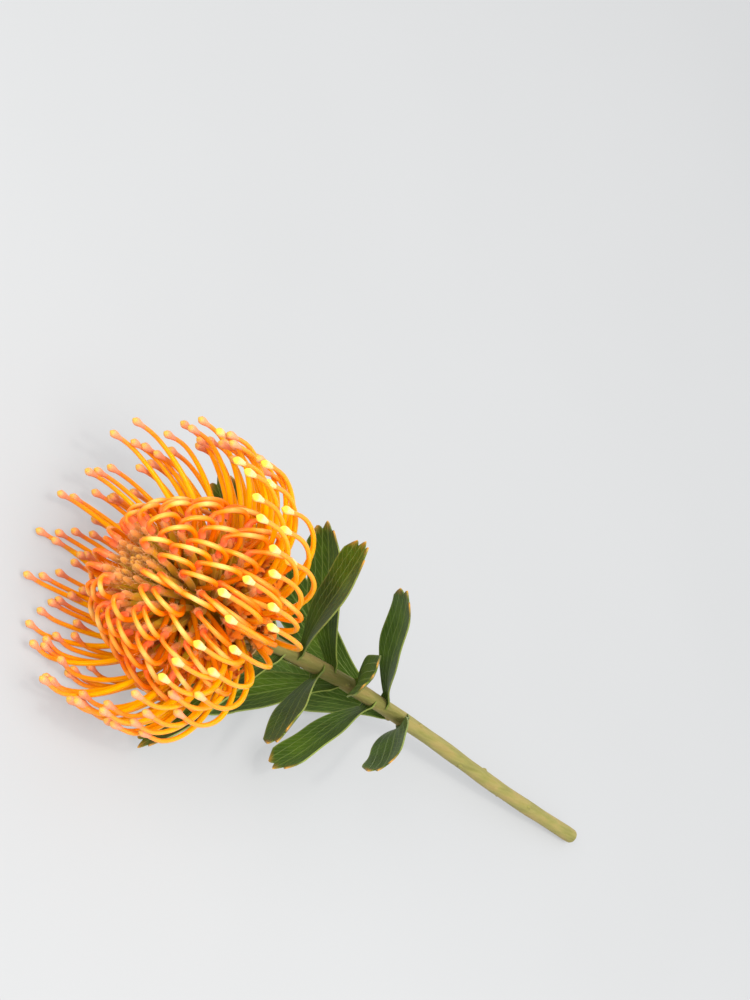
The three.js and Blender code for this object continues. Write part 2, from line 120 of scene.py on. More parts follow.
open_florets = [i for i in range(FLORETS) if floret(i)[0] < OPEN_SHARE]
halfway = [i + 0.5 for i in open_florets[:-1]]
between = [i for i in halfway if math.cos(floret(i)[1] - FAR_SIDE) > -0.35]
buds = [i for i in range(FLORETS) if floret(i)[0] > 1 - BUD_SHARE]
looped_florets = [i for i in range(len(open_florets), FLORETS) if i not in buds]
print(len(open_florets), "open, with", len(between), "between them")
print(len(looped_florets), "looped,", len(buds), "in bud")

# %% [markdown]
# ## Camera
# The camera comes first, because every later choice is judged through it. It looks down at the
# lying bloom from the apex side, turned so that the bloom points up and to the left. The bloom
# sits left of the middle and the stem crosses to the right. Turning the whole camera a little
# places it there without any lens shift.

# %% Set up the camera
VIEW_AZIMUTH = -50 * DEGREE
VIEW_ELEVATION = 46 * DEGREE
VIEW_ROLL = 66 * DEGREE
VIEW_DISTANCE = 0.9
APEX_HEIGHT = 66
SENSOR_SIZE = 36
PICTURE_WIDTH = 750
PICTURE_HEIGHT = 1000
FOCUS_PIXELS = 2338  # the focal length, in pixels of that picture
APEX_PIXEL = (134, 560)  # where the middle of the bloom's apex stands in it


def aim_camera():
    """Place the camera so that the apex of the bloom falls on its pixel."""
    ca, sa = math.cos(VIEW_AZIMUTH), math.sin(VIEW_AZIMUTH)
    ce, se = math.cos(VIEW_ELEVATION), math.sin(VIEW_ELEVATION)
    back = Vector((sa * ce, -ca * ce, se))
    right = Vector((ca, sa, 0))
    up = back.cross(right)
    level = Matrix((right, up, back)).transposed()
    rolled = level @ Matrix.Rotation(VIEW_ROLL, 3, "Z")
    aside, above = APEX_PIXEL[0] - PICTURE_WIDTH / 2, PICTURE_HEIGHT / 2 - APEX_PIXEL[1]
    ray = Vector((aside, above, -FOCUS_PIXELS)).normalized()
    turn = Vector((0, 0, -1)).rotation_difference(ray).to_matrix()
    apex = place(0, 0, APEX_HEIGHT) * MM
    matrix = (rolled @ turn.transposed()).to_4x4()
    matrix.translation = apex + back * VIEW_DISTANCE
    return matrix


camera_data = bpy.data.cameras.new("camera")
camera_data.lens = SENSOR_SIZE * FOCUS_PIXELS / PICTURE_HEIGHT
camera = bpy.data.objects.new("camera", camera_data)
camera.matrix_world = aim_camera()
bpy.context.scene.collection.objects.link(camera)
bpy.context.scene.camera = camera
print("lens", round(camera_data.lens, 1), "mm, at", [round(v, 3) for v in camera.location])

# %% [markdown]
# ## Floor and light
# Soft daylight from one side gives the loops their bright edges. One large lamp high up does
# that. A small one beside it sets crisp glints on the wax, a wide one, lower and in front of the
# apex, opens the shadows, and the world fills the rest. Colours are shown as they are, with the
# Standard view, because a film-like one turns a strong orange to salmon.

# %% Make the floor
bpy.ops.mesh.primitive_plane_add(size=6, location=(0, 0, 0))
floor = bpy.context.active_object
floor.name = "floor"
print("floor", round(floor.dimensions.x), "m wide")


# %% Hang the lamps
def hang_lamp(name, position, target, size, power, tint):
    lamp_data = bpy.data.lights.new(name, "AREA")
    lamp_data.shape = "DISK"
    lamp_data.size = size
    lamp_data.energy = power
    lamp_data.color = tint
    lamp = bpy.data.objects.new(name, lamp_data)
    lamp.location = position
    aim = (Vector(target) - Vector(position)).to_track_quat("-Z", "Y")
    lamp.rotation_euler = aim.to_euler()
    bpy.context.scene.collection.objects.link(lamp)


bloom_middle = tuple(place(0, 0, 30) * MM)
hang_lamp("key_lamp", (-0.1, -0.45, 1.25), bloom_middle, 0.9, 12, (1, 0.98, 0.94))
hang_lamp("glint_lamp", (-0.35, -0.3, 1.15), bloom_middle, 0.09, 2.4, (1, 0.97, 0.9))
hang_lamp("fill_lamp", (-1.3, -0.1, 0.7), bloom_middle, 1.4, 13, (1, 0.99, 0.97))
world = bpy.data.worlds.new("studio")
world.use_nodes = True
world.node_tree.nodes["Background"].inputs["Color"].default_value = (0.93, 0.95, 0.97, 1)
world.node_tree.nodes["Background"].inputs["Strength"].default_value = 1.05
bpy.context.scene.world = world
bpy.context.scene.view_settings.view_transform = "Standard"
print(len(bpy.data.lights), "lamps hung")

# %% [markdown]
# ## Tools for shaping
# A style, a perianth and the stem are all rods whose thickness changes along their length. Each
# starts as a flat disc and grows by extruding it and resizing the new ring, which gives full
# control of every ring. A rod is made straight, along X, because it is easy to shape there, and
# is bent or planted afterwards.


# %% Pick vertices, keep values, and extrude a rod
def pick(test):
    """Select the vertices of the mesh in edit mode whose place passes the test."""
    mesh = bmesh.from_edit_mesh(bpy.context.edit_object.data)
    for vertex in mesh.verts:
        vertex.select_set(test(vertex.co))
    mesh.select_flush_mode()
    bmesh.update_edit_mesh(bpy.context.edit_object.data)


def store_value(piece, name, values):
    """Keep one number for each vertex, for the materials to read."""
    layer = piece.data.attributes.new(name, "FLOAT", "POINT")
    layer.data.foreach_set("value", values)


def extrude_rod(name, sides, length, stations):
    """A closed rod along X, length in mm, from (share of the length, radius in mm) stations."""
    first_share, radius = stations[0]
    bpy.ops.mesh.primitive_circle_add(
        vertices=sides, radius=radius * MM, fill_type="TRIFAN", rotation=(0, math.pi / 2, 0)
    )
    piece = bpy.context.active_object
    piece.name = name
    bpy.ops.object.transform_apply(location=True, rotation=True, scale=True)
    bpy.ops.object.mode_set(mode="EDIT")
    bpy.ops.mesh.select_all(action="SELECT")
    reach = first_share * length * MM
    bpy.ops.transform.translate(value=(reach, 0, 0))
    for share, ring_radius in stations[1:]:
        step = {"value": (share * length * MM - reach, 0, 0)}
        bpy.ops.mesh.extrude_region_move(TRANSFORM_OT_translate=step)
        reach = share * length * MM
        if ring_radius == 0:
            bpy.ops.mesh.merge(type="CENTER")
            break
        factor = ring_radius / radius
        bpy.ops.transform.resize(value=(1, factor, factor), center_override=(reach, 0, 0))
        radius = ring_radius
    bpy.ops.mesh.select_all(action="SELECT")
    bpy.ops.mesh.normals_make_consistent(inside=False)
    bpy.ops.object.mode_set(mode="OBJECT")
    store_value(piece, "along", [v.co.x / (length * MM) for v in piece.data.vertices])
    return piece


# %% [markdown]
# ## Copying what repeats
# A bloom needs the same rod many times. Two ways are used. A stiff shape, such as a perianth, is
# planted: its vertices are copied through one matrix for each place, which is quick for
# thousands of hairs. A slender shape, such as a style, is bent along its own path by a Curve
# modifier, which keeps the rod round where it turns.


# %% Plant stiff copies
def plant(name, master, places, shades):
    """One mesh of copies of the master, one for each matrix, with a shade value for each."""
    source = master.data
    count = len(source.vertices)
    corners = np.empty(count * 3)
    source.vertices.foreach_get("co", corners)
    corners = corners.reshape(-1, 3)
    along = np.empty(count)
    source.attributes["along"].data.foreach_get("value", along)
    faces = [tuple(face.vertices) for face in source.polygons]
    planted = []
    for matrix in places:
        turn = np.array(matrix.to_3x3())
        planted.append(corners @ turn.T + np.array(matrix.translation))
    copies = range(len(places))
    mesh = bpy.data.meshes.new(name)
    mesh.from_pydata(
        np.concatenate(planted).tolist(),
        [],
        [tuple(v + k * count for v in face) for k in copies for face in faces],
    )
    mesh.attributes.new("along", "FLOAT", "POINT").data.foreach_set(
        "value", np.tile(along, len(places))
    )
    mesh.attributes.new("shade", "FLOAT", "POINT").data.foreach_set(
        "value", np.repeat(np.array(shades, dtype=float), count)
    )
    piece = bpy.data.objects.new(name, mesh)
    bpy.context.scene.collection.objects.link(piece)
    return piece


def standing(origin, onward, sideways, length=1.0, width=1.0):
    """The matrix that lays a rod from the origin (mm) along onward, its Z across sideways."""
    x = onward.normalized()
    y = sideways.cross(x).normalized()
    z = x.cross(y)
    matrix = Matrix((x * length, y * width, z * width)).transposed().to_4x4()
    matrix.translation = origin * MM
    return matrix


# %% Bend slender copies
def bend_along(master, path, shade):
    """A copy of a unit-long rod, bent by a Curve modifier along a path in millimetres."""
    length = sum((b - a).length for a, b in zip(path, path[1:])) * MM
    copy = master.copy()
    copy.data = master.data.copy()
    copy.data.transform(Matrix.Diagonal((length, 1, 1, 1)))
    shades = [shade] * len(copy.data.vertices)
    copy.data.attributes.new("shade", "FLOAT", "POINT").data.foreach_set("value", shades)
    guide_data = bpy.data.curves.new("guide", "CURVE")
    guide_data.dimensions = "3D"
    spline = guide_data.splines.new("POLY")
    spline.points.add(len(path) - 1)
    for point, spot in zip(spline.points, path):
        point.co = (*(spot * MM), 1)
    guide = bpy.data.objects.new("guide", guide_data)
    bpy.context.scene.collection.objects.link(guide)
    bpy.context.scene.collection.objects.link(copy)
    modifier = copy.modifiers.new("bend", "CURVE")
    modifier.object = guide
    bpy.context.view_layer.objects.active = copy
    bpy.ops.object.modifier_apply(modifier="bend")
    bpy.data.objects.remove(guide)
    return copy


def join_copies(name, copies):
    """Join the copies into one piece."""
    bpy.ops.object.select_all(action="DESELECT")
    for copy in copies:
        copy.select_set(True)
    bpy.context.view_layer.objects.active = copies[0]
    if len(copies) > 1:
        bpy.ops.object.join()
    piece = bpy.context.active_object
    piece.name = name
    piece.data.name = name
    return piece


# %% Thicken, smooth, and put masters away
def thicken(piece, thickness):
    """Give a sheet its thickness in mm, half of it to each side."""
    modifier = piece.modifiers.new("thickness", "SOLIDIFY")
    modifier.thickness = thickness * MM
    modifier.offset = 0
    bpy.context.view_layer.objects.active = piece
    bpy.ops.object.modifier_apply(modifier="thickness")


def smooth(piece, angle):
    bpy.ops.object.select_all(action="DESELECT")
    piece.select_set(True)
    bpy.context.view_layer.objects.active = piece
    bpy.ops.object.shade_smooth_by_angle(angle=angle * DEGREE)


def put_away(*masters):
    for master in masters:
        bpy.data.objects.remove(master)


# %% [markdown]
# ## Materials
# Petals and styles are waxy and a little see-through, so each gets some light under its surface.
# Their colours run along their length, so the colour reads the value that was kept for each ring.
# Small noise breaks it up, since no two florets share a shade. The gloss is tinted gold, so that
# the pale studio doesn't veil the orange with grey.


# %% Material tools
def paint(red, green, blue):
    """A colour from 0 to 255 as the eye sees it, made linear for a shader."""
    return (*Color((red / 255, green / 255, blue / 255)).from_srgb_to_scene_linear(), 1)


BLACK = (0, 0, 0, 1)
WHITE = (1, 1, 1, 1)
WARM_GLEAM = (1, 0.66, 0.2, 1)
GOLDEN_GLEAM = (1, 0.7, 0.12, 1)
LEAF_GLEAM = (0.7, 0.8, 0.5, 1)


def new_material(name, roughness, glow=0.0, coat=0.0, sheen=0.0, gleam=WARM_GLEAM):
    """A material with its gloss set, and its node tree to build colour in."""
    material = bpy.data.materials.new(name)
    material.use_nodes = True
    tree = material.node_tree
    shader = tree.nodes["Principled BSDF"]
    shader.inputs["Roughness"].default_value = roughness
    shader.inputs["Subsurface Weight"].default_value = glow
    shader.inputs["Subsurface Radius"].default_value = (1.0, 0.5, 0.1)
    shader.inputs["Subsurface Scale"].default_value = 0.0015
    shader.inputs["Coat Weight"].default_value = coat
    shader.inputs["Coat Roughness"].default_value = 0.13
    shader.inputs["Sheen Weight"].default_value = sheen
    shader.inputs["Sheen Roughness"].default_value = 0.6
    shader.inputs["Sheen Tint"].default_value = (1, 0.72, 0.4, 1)
    shader.inputs["Specular IOR Level"].default_value = 0.4
    shader.inputs["Specular Tint"].default_value = gleam
    print("material", name)
    return material, tree, shader


def value_of(tree, name):
    node = tree.nodes.new("ShaderNodeAttribute")
    node.attribute_name = name
    return node.outputs["Fac"]


def noise_of(tree, scale, detail=3.0, stretch=(1, 1, 1)):
    """Noise on the piece's own coordinates, with scale in patches to a metre."""
    spot = tree.nodes.new("ShaderNodeTexCoord")
    mapping = tree.nodes.new("ShaderNodeMapping")
    mapping.inputs["Scale"].default_value = stretch
    noise = tree.nodes.new("ShaderNodeTexNoise")
    noise.inputs["Scale"].default_value = scale
    noise.inputs["Detail"].default_value = detail
    tree.links.new(spot.outputs["Object"], mapping.inputs["Vector"])
    tree.links.new(mapping.outputs["Vector"], noise.inputs["Vector"])
    return noise.outputs["Fac"]


def ramp_of(tree, value, stops):
    """Colours placed along a value from 0 to 1."""
    node = tree.nodes.new("ShaderNodeValToRGB")
    stripe = node.color_ramp
    while len(stripe.elements) < len(stops):
        stripe.elements.new(0.5)
    for element, (position, tint) in zip(stripe.elements, stops):
        element.position = position
        element.color = tint
    tree.links.new(value, node.inputs["Fac"])
    return node.outputs["Color"]


def blend(tree, amount, first, second, how="MIX"):
    """Mix two colours by an amount. Each of the three is a number, a colour or a socket."""
    node = tree.nodes.new("ShaderNodeMix")
    node.data_type = "RGBA"
    node.blend_type = how
    for socket, source in zip((0, 6, 7), (amount, first, second)):
        if isinstance(source, bpy.types.NodeSocket):
            tree.links.new(source, node.inputs[socket])
        else:
            node.inputs[socket].default_value = source
    return node.outputs[2]


def sum_of(tree, first, how, second):
    node = tree.nodes.new("ShaderNodeMath")
    node.operation = how
    for socket, source in zip((0, 1), (first, second)):
        if isinstance(source, bpy.types.NodeSocket):
            tree.links.new(source, node.inputs[socket])
        else:
            node.inputs[socket].default_value = source
    return node.outputs[0]


def mottle(tree, colour, patches, amount, tint):
    """Let a tint show through a colour by up to an amount, where the patches are strong."""
    return blend(tree, sum_of(tree, patches, "MULTIPLY", amount), colour, tint)


def dress(tree, shader, colour, height, distance):
    """Set the colour, and bump the surface by a height, in metres at full height."""
    tree.links.new(colour, shader.inputs["Base Color"])
    node = tree.nodes.new("ShaderNodeBump")
    node.inputs["Strength"].default_value = 1
    node.inputs["Distance"].default_value = distance
    tree.links.new(height, node.inputs["Height"])
    tree.links.new(node.outputs["Normal"], shader.inputs["Normal"])


# %% Paint the floor
# It gives off a little light of its own, so that it reads pale and even round the bloom.
material, tree, shader = new_material("floor_paper", 0.9)
grey = ramp_of(
    tree, noise_of(tree, 2.5), [(0.3, paint(124, 126, 128)), (0.7, paint(129, 131, 133))]
)
tree.links.new(grey, shader.inputs["Base Color"])
shader.inputs["Emission Color"].default_value = (0.95, 0.96, 0.98, 1)
shader.inputs["Emission Strength"].default_value = 0.4
floor.data.materials.append(material)

# %% Paint for the styles
# Golden at the base, then orange, then coral near the tip.
material, tree, shader = new_material("style_wax", 0.3, glow=0.25, coat=0.18, gleam=GOLDEN_GLEAM)
body = ramp_of(
    tree,
    value_of(tree, "along"),
    [
        (0.0, paint(250, 180, 0)),
        (0.55, paint(250, 180, 0)),
        (0.76, paint(250, 168, 6)),
        (0.9, paint(248, 150, 40)),
        (1.0, paint(240, 136, 72)),
    ],
)
varied = ramp_of(
    tree, value_of(tree, "shade"), [(0.0, paint(255, 238, 225)), (1.0, paint(255, 255, 255))]
)
body = blend(tree, 1.0, body, varied, "MULTIPLY")
body = mottle(tree, body, noise_of(tree, 700), 0.3, paint(255, 186, 10))
dress(tree, shader, body, noise_of(tree, 1600, 2), 0.00005)
style_wax = material

# %% Paint for the loops
# Darker at the base, redder where the tip is held, a painted highlight between, stronger on some.
material, tree, shader = new_material("loop_wax", 0.26, glow=0.25, coat=0.24, gleam=GOLDEN_GLEAM)
body = ramp_of(
    tree,
    value_of(tree, "along"),
    [
        (0.0, paint(220, 130, 0)),
        (0.3, paint(242, 134, 0)),
        (0.6, paint(246, 134, 0)),
        (0.8, paint(250, 150, 14)),
        (0.87, paint(242, 112, 24)),
        (0.92, paint(238, 92, 44)),
        (1.0, paint(246, 146, 110)),
    ],
)
# A cream band of painted highlight just past the hook, its strength set for each loop by its shade
# value.
painted_highlight_band = ramp_of(
    tree, value_of(tree, "along"), [(0.6, BLACK), (0.73, WHITE), (0.82, BLACK)]
)
painted_highlight_strength = sum_of(tree, sum_of(tree, value_of(tree, "shade"), "MULTIPLY", 0.75), "ADD", 0.25)
body = blend(tree, sum_of(tree, painted_highlight_band, "MULTIPLY", painted_highlight_strength), body, paint(255, 222, 134))
varied = ramp_of(
    tree, value_of(tree, "shade"), [(0.0, paint(255, 232, 215)), (1.0, paint(255, 255, 255))]
)
body = blend(tree, 1.0, body, varied, "MULTIPLY")
body = mottle(tree, body, noise_of(tree, 600), 0.25, paint(255, 158, 10))
dress(tree, shader, body, noise_of(tree, 1500, 2), 0.00005)
loop_wax = material

# %% Paint for the presenters
# A coral body with a yellow tip. Those dusted with pollen are cream.
material, tree, shader = new_material("presenter_skin", 0.55, glow=0.2)
coral = ramp_of(
    tree,
    value_of(tree, "along"),
    [
        (0.0, paint(238, 118, 82)),
        (0.35, paint(236, 140, 108)),
        (0.78, paint(232, 142, 104)),
        (0.9, paint(222, 158, 56)),
        (1.0, paint(200, 150, 36)),
    ],
)
dusted = ramp_of(
    tree,
    value_of(tree, "along"),
    [
        (0.0, paint(250, 150, 60)),
        (0.25, paint(246, 204, 134)),
        (0.62, paint(244, 216, 144)),
        (0.8, paint(244, 214, 60)),
        (1.0, paint(240, 206, 20)),
    ],
)
body = blend(tree, value_of(tree, "shade"), coral, dusted)
body = mottle(tree, body, noise_of(tree, 1500), 0.3, paint(255, 214, 150))
dress(tree, shader, body, noise_of(tree, 5000, 2), 0.0001)
presenter_skin = material

# %% Paint for the perianths and their woolly limbs
material, tree, shader = new_material("perianth_skin", 0.6, glow=0.15, sheen=0.2)
body = ramp_of(
    tree,
    value_of(tree, "along"),
    [
        (0.0, paint(160, 112, 0)),
        (0.45, paint(182, 150, 0)),
        (0.8, paint(204, 166, 6)),
        (1.0, paint(236, 154, 40)),
    ],
)
body = blend(tree, value_of(tree, "shade"), body, blend(tree, 0.5, body, paint(196, 124, 4)))
body = mottle(tree, body, noise_of(tree, 900), 0.5, paint(202, 172, 8))
dress(tree, shader, body, noise_of(tree, 3000), 0.00015)
perianth_skin = material

material, tree, shader = new_material("limb_wool", 0.85, glow=0.2, sheen=0.5)
body = ramp_of(
    tree,
    value_of(tree, "along"),
    [
        (0.0, paint(196, 144, 8)),
        (0.4, paint(226, 146, 20)),
        (0.8, paint(244, 134, 72)),
        (1.0, paint(246, 144, 106)),
    ],
)
body = blend(tree, value_of(tree, "shade"), body, paint(204, 138, 30))
body = mottle(tree, body, noise_of(tree, 1800), 0.35, paint(252, 172, 96))
dress(tree, shader, body, noise_of(tree, 4500), 0.0003)
limb_wool = material

material, tree, shader = new_material("hair", 0.7, glow=0.3)
tint = ramp_of(
    tree, value_of(tree, "shade"), [(0.0, paint(240, 160, 84)), (1.0, paint(252, 206, 150))]
)
tree.links.new(tint, shader.inputs["Base Color"])
hair_paint = material

# %% [markdown]
# ## The cone in the middle
# Under the florets is a woody cone, the receptacle, with the bases of all florets packed against
# it. Only dark chinks of it show, so one turned rod is enough. It keeps light from passing
# through the bloom where real florets would block it.


# %% Finish a piece
def settle(piece, node, material, angle=60):
    """Ride on the root body, hide the solid that it stands for, and take one material."""
    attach(piece, "root")
    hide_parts(node)
    piece.data.materials.clear()
    piece.data.materials.append(material)
    smooth(piece, angle)
    triangles = sum(len(face.vertices) - 2 for face in piece.data.polygons)
    print(f"{piece.name}: {triangles} triangles")


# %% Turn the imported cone
CONE_RINGS = [
    (0, 5.5),
    (0.03, 7),
    (0.08, 9),
    (0.2, 11),
    (0.5, 11.5),
    (0.75, 10),
    (0.9, 7),
    (0.97, 4),
    (1, 0),
]
cone = extrude_rod("cone_master", 28, 50, CONE_RINGS)
packed_cone = plant("packed_cone", cone, [standing(place(0, 0, 0.4), AXIS, SIDE)], [0.5])
put_away(cone)
settle(packed_cone, "flower_head", perianth_skin)

# %% [markdown]
# ## Closed florets
# Each floret that is still shut is a narrow four-angled tube, the perianth. It ends in a woolly
# knob, the limb, which holds the tip of the style. Both are extruded rods. Pulling in every
# second line of vertices gives the tube its four angles.

# %% Shape one perianth and one limb
PERIANTH_LENGTH = 20
LIMB_LENGTH = 7.2
LIMB_RADIUS = 1.75
perianth = extrude_rod(
    "perianth_master",
    8,
    PERIANTH_LENGTH,
    [(0, 1.0), (0.25, 1.5), (0.6, 1.75), (0.85, 1.55), (0.95, 1.3), (1, 1.2)],
)
bpy.ops.object.mode_set(mode="EDIT")
bpy.ops.mesh.select_all(action="DESELECT")
# Only the lines halfway between the four angles.
pick(lambda spot: abs(abs(spot.y) - abs(spot.z)) < 0.00002 and abs(spot.y) > 0.0001)
bpy.ops.transform.resize(value=(1, 0.84, 0.84), center_override=(0, 0, 0))
bpy.ops.object.mode_set(mode="OBJECT")

limb = extrude_rod(
    "limb_master",
    8,
    LIMB_LENGTH,
    [(0, 1.1), (0.15, 1.3), (0.38, 1.65), (0.6, LIMB_RADIUS), (0.8, 1.4), (0.93, 0.8), (1, 0)],
)
print("perianth has", len(perianth.data.polygons), "faces, limb has", len(limb.data.polygons))


# %% Plant the closed florets
LOOPED_REACH = 29
BUD_REACH = 25
BUD_DIP = 5
PERIANTH_BACK = 24.5
LIMB_BACK = 6.6
LIMB_NOD = 0.22
LOOPED_GIRTH = 0.86
BUD_GIRTH = 0.76


def floret_line(i):
    """Root, direction, direction away from the apex, and direction across, of floret i."""
    _, angle, radius, height, tilt = floret(i)
    lean_tilt = tilt + spread(i, 5, 5 * DEGREE)
    lean_angle = angle + spread(i, 6, 5 * DEGREE)
    onward = leaning(lean_tilt, lean_angle)
    away = leaning(lean_tilt + math.pi / 2, lean_angle)
    return place(radius, angle, height), onward, away, around(lean_angle)


perianth_places, limb_places, floret_shades = [], [], []
for i in looped_florets + buds:
    root, onward, away, sideways = floret_line(i)
    looped = i in looped_florets
    rise = floret(i)[0]
    reach = LOOPED_REACH if looped else BUD_REACH - BUD_DIP * smoothstep(rise, 0.93, 1)
    girth = LOOPED_GIRTH if looped else BUD_GIRTH
    perianth_places.append(standing(root + onward * (reach - PERIANTH_BACK), onward, sideways))
    seat = root + onward * (reach - LIMB_BACK)
    nod = (onward - away * LIMB_NOD).normalized()
    limb_places.append(standing(seat, nod, sideways, 1, girth * (1 + spread(i, 18, 0.12))))
    bud_shade = mix(0.6, 1, smoothstep(rise, 0.92, 0.97))
    floret_shades.append(mix(0.15, 0.5, chance(i, 19)) if looped else bud_shade)
closed_perianths = plant("closed_perianths", perianth, perianth_places, floret_shades)
woolly_limbs = plant("woolly_limbs", limb, limb_places, floret_shades)
put_away(perianth, limb)
settle(closed_perianths, "flower_head", perianth_skin, 50)
settle(woolly_limbs, "flower_head", limb_wool, 88)

# %% [markdown]
# ## Looped styles
# A style outgrows its perianth while its tip is still held, so it bows out in a big hairpin away
# from the apex. The lower ones are older and bow furthest. One straight rod is modelled and each
# copy is bent along its own loop with a Curve modifier, because scaling one bent loop would
# flatten the rod.

# %% Shape one straight style
STYLE_RINGS = 26


def style_rod(name, base, middle, tip, knob=0.0):
    """A straight unit-long style that narrows to its tip, which a knob can thicken again."""
    stations = []
    for k in range(STYLE_RINGS + 1):
        share = k / STYLE_RINGS
        radius = base + (middle - base) * smoothstep(share, 0, 0.3)
        radius += (tip - middle) * smoothstep(share, 0.55, 0.88)
        stations.append((share, radius + knob * smoothstep(share, 0.88, 0.96)))
    return extrude_rod(name, 8, 1000, stations)


# How far each knot lies along the perianth, and how far away from the apex.
LOOP_PATH = [
    (8, 0.5),
    (12, 7),
    (18, 14.5),
    (23.5, 18),
    (28.5, 17),
    (32, 11),
    (33.6, 4.5),
    (33, 0.6),
    (29, 0.2),
]
LOOP_CLEARANCE = 1.0


def through(knots, steps):
    """Points on a smooth path through the knots."""
    ends = [knots[0] * 2 - knots[1], *knots, knots[-1] * 2 - knots[-2]]
    points = []
    for a, b, c, d in zip(ends, ends[1:], ends[2:], ends[3:]):
        for k in range(steps):
            t = k / steps
            curve = (c - a) * t + (a * 2 - b * 5 + c * 4 - d) * t**2
            curve += (b * 3 - a - c * 3 + d) * t**3
            points.append(b + curve * 0.5)
    return [*points, knots[-1]]


# %% Bend the looped styles
def loop_line(i):
    root, onward, away, _ = floret_line(i)
    bowed = Matrix.Rotation(spread(i, 16, 14 * DEGREE), 3, onward) @ away
    age = (floret(i)[0] - OPEN_SHARE) / (1 - BUD_SHARE - OPEN_SHARE)
    size = mix(1.25, 0.5, age) + spread(i, 7, 0.08)
    path = through([root + onward * reach + bowed * (bow * size) for reach, bow in LOOP_PATH], 5)
    for spot in path:
        spot.z = max(spot.z, LOOP_CLEARANCE)
    return path


loop_rod = style_rod("loop_master", 1.1, 1.15, 0.95, knob=0.55)
copies = [bend_along(loop_rod, loop_line(i), chance(i, 20)) for i in looped_florets]
looped_styles = join_copies("looped_styles", copies)
put_away(loop_rod)
settle(looped_styles, "flower_head", loop_wax)

# %% [markdown]
# ## Open styles and their presenters
# The lowest florets have let go. Their styles sweep out and curl in at the tip, and neighbours
# lean together in tufts. Where a style meets the table it bends along it, since the bloom lies on
# these. Each ends in a pear-shaped presenter with a small tip.


# %% Bend the open styles
def walk(start, heading, length, clearance, steps=50):
    """A path that follows heading(share) and bends along the table where it meets it."""
    path = [start]
    step = length / steps
    for k in range(steps):
        share = (k + 0.5) / steps
        move = heading(share) * step
        drop = max(move.z, -(path[-1].z - clearance(share)) * 0.3)
        level = math.sqrt(max(step**2 - drop**2, 0)) / max(math.hypot(move.x, move.y), 1e-6)
        path.append(path[-1] + Vector((move.x * level, move.y * level, drop)))
    return path


CLUMPS = 14
CLUMP_TURN = 2 * math.pi / CLUMPS
STYLE_SINK = 3
STYLE_CLEARANCE = 1.25
TIP_CLEARANCE = 1.8


def open_line(i):
    """The path of open style i, which leans to the middle of its tuft."""
    rise, angle, radius, height, _ = floret(i)
    share = rise / OPEN_SHARE
    clump = math.floor(angle / CLUMP_TURN + 0.5)
    drift = (clump * CLUMP_TURN - angle) * 0.6 + spread(i, 1, 5 * DEGREE)
    length = mix(72, 80, share) * (1 + spread(i, 2, 0.04))
    start = mix(97, 78, share) * DEGREE + spread(i, 3, 4 * DEGREE)
    clump_end = spread(clump % CLUMPS, 17, 8 * DEGREE)
    end = mix(-4, -2, share) * DEGREE + clump_end + spread(i, 4, 5 * DEGREE)

    def heading(s):
        curl = 10 * DEGREE * smoothstep(s, 0.84, 0.95)
        return leaning(mix(start, end, s**1.6) - curl, angle + drift * s)

    def clearance(s):
        return TIP_CLEARANCE if s > 0.9 else STYLE_CLEARANCE

    return walk(place(radius - STYLE_SINK, angle, height), heading, length, clearance)


open_rod = style_rod("style_master", 1.4, 1.2, 0.95)
open_paths = {i: open_line(i) for i in open_florets + between}
copies = [bend_along(open_rod, path, chance(i, 20)) for i, path in open_paths.items()]
open_styles = join_copies("open_styles", copies)
put_away(open_rod)
settle(open_styles, "flower_head", style_wax)

# %% Shape and plant the presenters
presenter = extrude_rod(
    "presenter_master",
    10,
    7,
    [
        (0, 0.85),
        (0.2, 0.98),
        (0.38, 1.25),
        (0.54, 1.55),
        (0.68, 1.68),
        (0.8, 1.5),
        (0.88, 1.08),
        (0.93, 0.75),
        (0.98, 0.55),
        (1, 0),
    ],
)
PRESENTER_BACK = 2.4
presenter_places, pollen = [], []
for i, path in open_paths.items():
    onward = (path[-1] - path[-5]).normalized()
    angle = floret(i)[1]
    seat = path[-1] - onward * PRESENTER_BACK
    presenter_places.append(standing(seat, onward, around(angle)))
    facing = math.cos(angle + 10 * DEGREE)
    pollen.append(smoothstep(facing + spread(i, 21, 0.25), 0.35, 0.7))
pollen_presenters = plant("pollen_presenters", presenter, presenter_places, pollen)
put_away(presenter)
settle(pollen_presenters, "flower_head", presenter_skin, 75)

# %% [markdown]
# ## Rolled back tepals
# When a style lets go, its perianth splits, and the strips roll back into tight coils, each with
# its bit of woolly limb at the end. They fill the space under the loops. Hundreds are needed, so
# a strip must be light: it is a six-sided rod that narrows to its end, pressed flat and bent into
# a coil by a Curve modifier.

# %% Coil one tepal
TEPAL_REACH = 4
TEPAL_COIL = 2.3
TEPAL_TURN = 290 * DEGREE
TEPAL_RINGS = 10
COIL_STEPS = 40

shares = [k / TEPAL_RINGS for k in range(TEPAL_RINGS + 1)]
stations = [(share, mix(1.1, 0.75, share)) for share in shares]
strip = extrude_rod("strip_master", 6, 1000, stations)
bpy.ops.object.mode_set(mode="EDIT")
bpy.ops.mesh.select_all(action="SELECT")
bpy.ops.transform.resize(value=(1, 1, 0.3), center_override=(0, 0, 0))
bpy.ops.object.mode_set(mode="OBJECT")


def on_coil(turn):
    """The point of the coil in mm, after its straight part and a turn."""
    ahead, down = math.sin(turn), math.cos(turn) - 1
    return Vector((TEPAL_REACH + TEPAL_COIL * ahead, 0, TEPAL_COIL * down))


coil = [on_coil(TEPAL_TURN * k / COIL_STEPS) for k in range(COIL_STEPS + 1)]
tepal = bend_along(strip, [Vector((0, 0, 0)), Vector((TEPAL_REACH / 2, 0, 0)), *coil], 0.5)
put_away(strip)
wide = max(v.co.y for v in tepal.data.vertices) - min(v.co.y for v in tepal.data.vertices)
print("tepal:", len(tepal.data.polygons), "faces,", round(wide / MM, 2), "mm wide")

